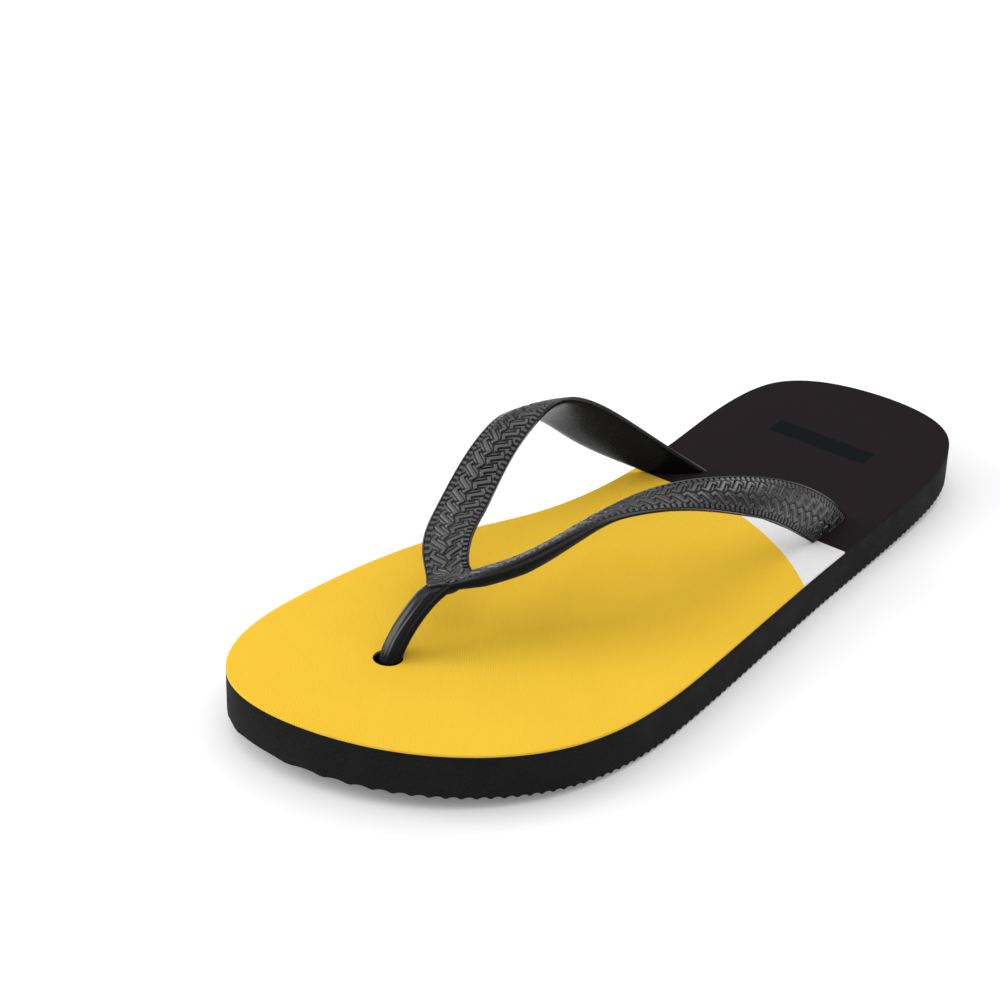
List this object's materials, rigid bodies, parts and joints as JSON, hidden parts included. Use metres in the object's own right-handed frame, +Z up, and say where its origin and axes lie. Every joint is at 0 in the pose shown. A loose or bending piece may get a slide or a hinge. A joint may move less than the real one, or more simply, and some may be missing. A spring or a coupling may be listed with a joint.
{
  "type": "flip flop",
  "caption": "Left-foot flip flop: printed fabric lining on a foam rubber sole with a fluted tread, V-shaped thong strap and toe post. The sole flexes at the ball of the foot.",
  "frame": {"origin": "on the ground, in the middle of the sole's outline seen from above", "axes": "toe towards -Y, heel towards +Y, outer (little-toe) side of the foot towards +X, +Z up"},
  "size_m": [0.107, 0.2702, 0.0541],
  "materials": {
    "foam_rubber": "matt black closed-cell foam rubber with a fine grain",
    "printed_fabric": "fine ribbed knit, printed yellow at the toe, white and black at the heel",
    "strap_rubber": "satin black, embossed on the outside and smooth inside"
  },
  "bodies": {
    "forefoot": {"sole_block_fore": "foam_rubber", "lining_fore": "printed_fabric", "toe_post": "strap_rubber"},
    "rearfoot": {"sole_block_rear": "foam_rubber", "lining_rear": "printed_fabric", "strap": "strap_rubber"}
  },
  "joints": [
    {"name": "sole_flex", "type": "hinge", "parent": "forefoot", "child": "rearfoot", "pos_m": [0, -0.055, 0.01387], "axis": [1, 0, 0], "range_deg": [0, 25], "stiffness_Nm_per_rad": 0.4, "deforming": ["toe_post"]}
  ]
}
